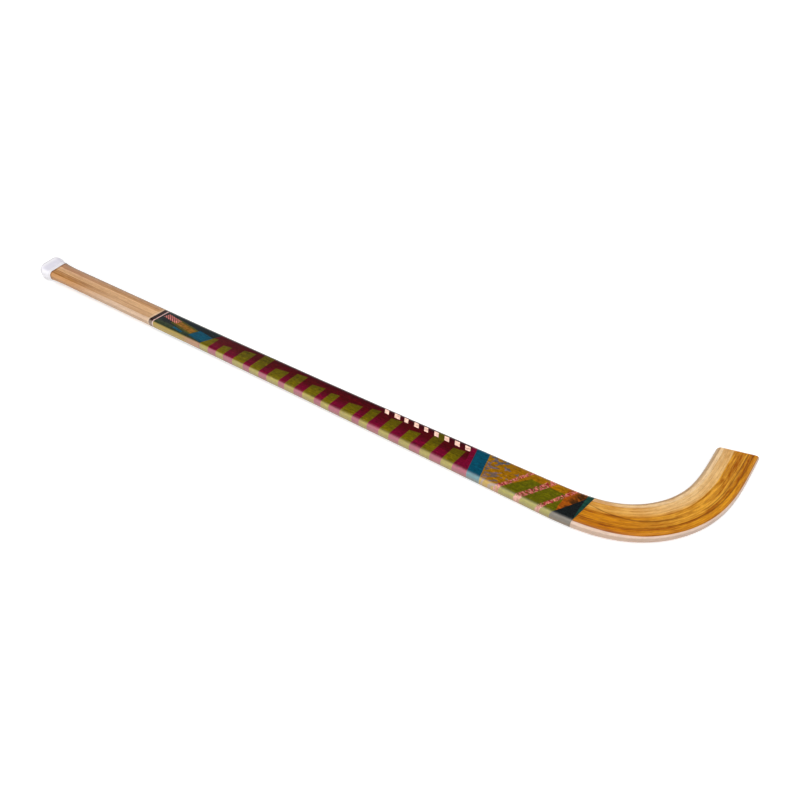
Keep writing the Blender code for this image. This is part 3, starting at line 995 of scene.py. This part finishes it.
cap = {
    "length": 20.5 * mm,
    "mouthProud": 0.3 * mm,
    "lip": 0.5 * mm, "lipSteps": 4,
    "pocketClearance": 0.3 * mm, "pocketSteps": 8,
    "floor": 5 * mm,
    "endWidth": 46.4 * mm, "endHeight": 27.1 * mm, "endRadius": 9 * mm,
    "cornerRound": 10 * mm,
    "edgeRound": 3 * mm, "edgeSteps": 10,
    "rim": 0.30 * mm, "rimStart": 17.6 * mm, "rimRise": 0.6 * mm,   # a bead round the mouth
    "rib": 0.30 * mm, "ribPitch": 2.4 * mm,     # ribs on the narrow sides, to pull it on by
    "ribFrom": 4.8 * mm, "ribTo": 14.4 * mm,
    "stations": 60, "leastStep": 0.1 * mm,
    "speckle": (900, 900, 900, 3.0, 0.6),
    "clouds": (90, 90, 90, 2.0, 0.5), "cloudShare": 0.2,
    "white": (247, 245, 249),
    "shade": (225, 222, 234), "shadeShare": 0.8,        # painted shade on the waist of the broad sides
    "shadeFrom": (3 * mm, 8 * mm), "shadeTo": (14 * mm, 17.5 * mm), "shadeSides": (0.70, 0.92),
    "crease": (-0.5 * mm, 0.1 * mm),            # painted shade in the crease beside the start of the bead
    "creaseSoft": 0.25 * mm, "creaseShare": 0.5,
    "edgeShade": (186, 182, 186),   # painted shade greys the end's edge, further up the narrow sides
    "edgeShadeFrom": (0.1 * mm, 0.6 * mm), "edgeShadeTo": (1.6 * mm, 3.6 * mm),
    "edgeShadeSides": (0.80, 0.98), "edgeShadeSideRise": 3.4 * mm,
    "edgeShadeRange": (0.50, 0.75), "edgeShadeCloudShare": 0.25, "edgeShadeShare": 0.50,
    "under": (196, 194, 199), "underShare": 0.8,        # painted shade, greyer towards its underside
    "underTo": (-11 * mm, -4 * mm),
    "roughness": 0.40, "speckleRough": 0.14,
    "bump": 0.12, "bumpHeight": 0.2 * mm,
    "coat": 0.0, "coatRoughness": 0.03,
    "specular": 0.4,
}


def capSection(s):
    mouth = [size + cap["mouthProud"] for size in outline(cap["length"])]
    end = (cap["endWidth"] / 2, cap["endHeight"] / 2, cap["endRadius"])
    spread = ramp(cap["length"] - s, 0, cap["length"]) ** 2
    halfWidth, halfHeight, radius = (a + (b - a) * spread for a, b in zip(mouth, end))
    rise = ramp(s, cap["rimStart"], cap["rimStart"] + cap["rimRise"])
    rim = cap["rim"] * math.sin(math.pi / 2 * rise)
    rib = 0.0
    if cap["ribFrom"] < s < cap["ribTo"]:
        rib = cap["rib"] * abs(math.sin(math.pi * (s - cap["ribFrom"]) / cap["ribPitch"]))
    sunk = cap["rib"] * ramp(s, 0, cap["ribFrom"])
    halfWidth += rim + rib - sunk - roundIn(s, cap["cornerRound"])
    return halfWidth, halfHeight + rim - roundIn(s, cap["edgeRound"]), radius


def capFinish():
    finish = Finish("finish_cap")
    s, u, z = finish.places()
    speckle = finish.grain(cap["speckle"], s, u, z)
    clouds = finish.grain(cap["clouds"], s, u, z)
    side = abs(finish.share())
    # painted shade on the waist of the broad sides, with cloudy tone over all
    waist = s.between(*cap["shadeFrom"]) * (1 - s.between(*cap["shadeTo"]))
    waist = waist * (1 - side.between(*cap["shadeSides"]))
    shade = waist * cap["shadeShare"] + clouds * cap["cloudShare"]
    colour = finish.mix(shade, paint(cap["white"]), paint(cap["shade"]))
    # painted shade on the end's rounded edge and in the crease beside the bead
    crease = (s - cap["rimStart"]).band(*cap["crease"], cap["creaseSoft"])
    reach = s - side.between(*cap["edgeShadeSides"]) * cap["edgeShadeSideRise"]
    edgeShade = s.between(*cap["edgeShadeFrom"]) * (1 - reach.between(*cap["edgeShadeTo"]))
    cloudy = clouds.between(*cap["edgeShadeRange"]) * cap["edgeShadeCloudShare"] + cap["edgeShadeShare"]
    edgeShade = (edgeShade * cloudy).most(crease * cap["creaseShare"])
    colour = finish.mix(edgeShade, colour, paint(cap["edgeShade"]))
    # painted shade, greyer towards the underside
    under = (1 - z.between(*cap["underTo"])) * cap["underShare"]
    colour = finish.mix(under, colour, paint(cap["under"]))
    rough = cap["roughness"] + speckle * cap["speckleRough"]
    return finish.cover(cap, colour, rough, speckle)


def buildCap():
    rings = []
    for i in range(cap["pocketSteps"] + 1):
        depth = (cap["length"] - cap["lip"] - cap["floor"]) * i / cap["pocketSteps"]
        s = cap["floor"] + depth
        gap = wood["capSeat"] - cap["pocketClearance"]
        rings.append(roundRing(s, *(size - gap for size in outline(s))))
    for bend in quarterTurn(cap["lipSteps"]):
        s = cap["length"] - cap["lip"] * (1 - math.cos(bend))
        inward = cap["lip"] * (1 - math.sin(bend))
        rings.append(roundRing(s, *(size - inward for size in capSection(s))))
    mouth = cap["length"] - cap["lip"] - cap["leastStep"]
    outer = [cap["length"] * i / cap["stations"] for i in range(cap["stations"])]
    outer = [s for s in outer if cap["edgeRound"] < s < mouth]
    outer += [cap["edgeRound"] * (1 - math.sin(bend)) for bend in quarterTurn(cap["edgeSteps"])]
    for s in sorted(outer, reverse=True):
        rings.append(roundRing(s, *capSection(s)))
    piece = loftPiece("cap_moulding", rings)
    piece.data.materials.append(capFinish())
    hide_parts("end_cap")


buildCap()
print("cap made")

studio = {
    "floorRadius": 3.2, "sides": 96,
    "bend": 0.9, "bendSteps": 12,
    "wallHeight": 3.0,
    "white": 0.80, "roughness": 0.9,
    "glowNear": 0.45, "glowFar": 1.0, "glowRange": (0.7, 2.4),
    "skyFill": 0.12,
    "lamps": [                  # name, place, size and power
        ("key_light", (0.75, -1.9, 2.0), (2.6, 2.0), 56.0),
        ("top_light", (0.1, -0.15, 2.4), (3.0, 2.0), 30.0),
    ],
}


def buildStudio():
    # a pale floor that turns up into a round wall, well away from the stick
    sides = studio["sides"]
    profile = [(studio["floorRadius"], 0.0)]
    for bend in quarterTurn(studio["bendSteps"])[1:]:
        out = studio["floorRadius"] + studio["bend"] * math.sin(bend)
        profile.append((out, studio["bend"] * (1 - math.cos(bend))))
    profile.append((studio["floorRadius"] + studio["bend"], studio["wallHeight"]))
    points = []
    for radius, height in profile:
        for i in range(sides):
            angle = 2 * math.pi * i / sides
            points.append((radius * math.cos(angle), radius * math.sin(angle), height))
    faces = [tuple(range(sides))]
    for row in range(len(profile) - 1):
        first = row * sides
        for i in range(sides):
            j = (i + 1) % sides
            faces.append((first + i, first + sides + i, first + sides + j, first + j))
    mesh = bpy.data.meshes.new("studio_floor")
    mesh.from_pydata(points, [], faces)
    mesh.shade_smooth()
    floor = putInScene("studio_floor", mesh)

    # what the camera and reflections see of it glows, more so away from the stick
    finish = Finish("finish_floor")
    seen = finish.node("ShaderNodeLightPath", {}, {}, "Is Camera Ray")
    for ray in ("Is Glossy Ray", "Is Transmission Ray"):
        seen = seen.most(finish.node("ShaderNodeLightPath", {}, {}, ray))
    place = finish.node("ShaderNodeNewGeometry", {}, {})
    away = finish.node("ShaderNodeVectorMath", {"operation": "LENGTH"}, {0: place}, 1)
    away = away.between(*studio["glowRange"])
    glow = studio["glowNear"] + (studio["glowFar"] - studio["glowNear"]) * away
    finish.set({"Base Color": (*[studio["white"]] * 3, 1.0), "Roughness": studio["roughness"]})
    finish.set({"Specular IOR Level": 0.0, "Emission Color": seen * glow, "Emission Strength": 1.0})
    mesh.materials.append(finish.material)
    floor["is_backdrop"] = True

    world = bpy.data.worlds.new("studio")
    bpy.context.scene.world = world
    world.use_nodes = True
    world.node_tree.nodes["Background"].inputs["Color"].default_value = (1.0, 1.0, 1.0, 1.0)
    world.node_tree.nodes["Background"].inputs["Strength"].default_value = studio["skyFill"]


def buildLamp(name, place, size, power):
    data = bpy.data.lights.new(name, "AREA")
    data.shape = "RECTANGLE"
    data.size = size[0]
    data.size_y = size[1]
    data.energy = power
    lamp = putInScene(name, data)
    lamp.location = place
    lamp.rotation_euler = Vector(place).to_track_quat("Z", "Y").to_euler()


buildStudio()
for lamp in studio["lamps"]:
    buildLamp(*lamp)

camera = {
    "place": (0.48112, -0.62216, 0.70702),
    "turn": (45.0277, 0.5666, 32.7040),
    "lens": 35.546, "sensor": 36,
    "nearest": 0.01,
    "imageSize": 800, "halfPixel": 0.5,
}


def buildCamera():
    data = bpy.data.cameras.new("photo_view")
    data.sensor_fit = "HORIZONTAL"
    data.sensor_width = camera["sensor"]
    data.lens = camera["lens"]
    data.shift_x = -camera["halfPixel"] / camera["imageSize"]
    data.shift_y = camera["halfPixel"] / camera["imageSize"]
    data.clip_start = camera["nearest"]
    view = putInScene("photo_view", data)
    view.location = camera["place"]
    view.rotation_euler = [math.radians(angle) for angle in camera["turn"]]
    bpy.context.scene.camera = view


buildCamera()
bpy.context.scene.view_settings.view_transform = "Standard"
print("studio made")

boxes = {"cad": cadBox, "visual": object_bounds()}
{name: [list(corner) for corner in box] for name, box in boxes.items()}
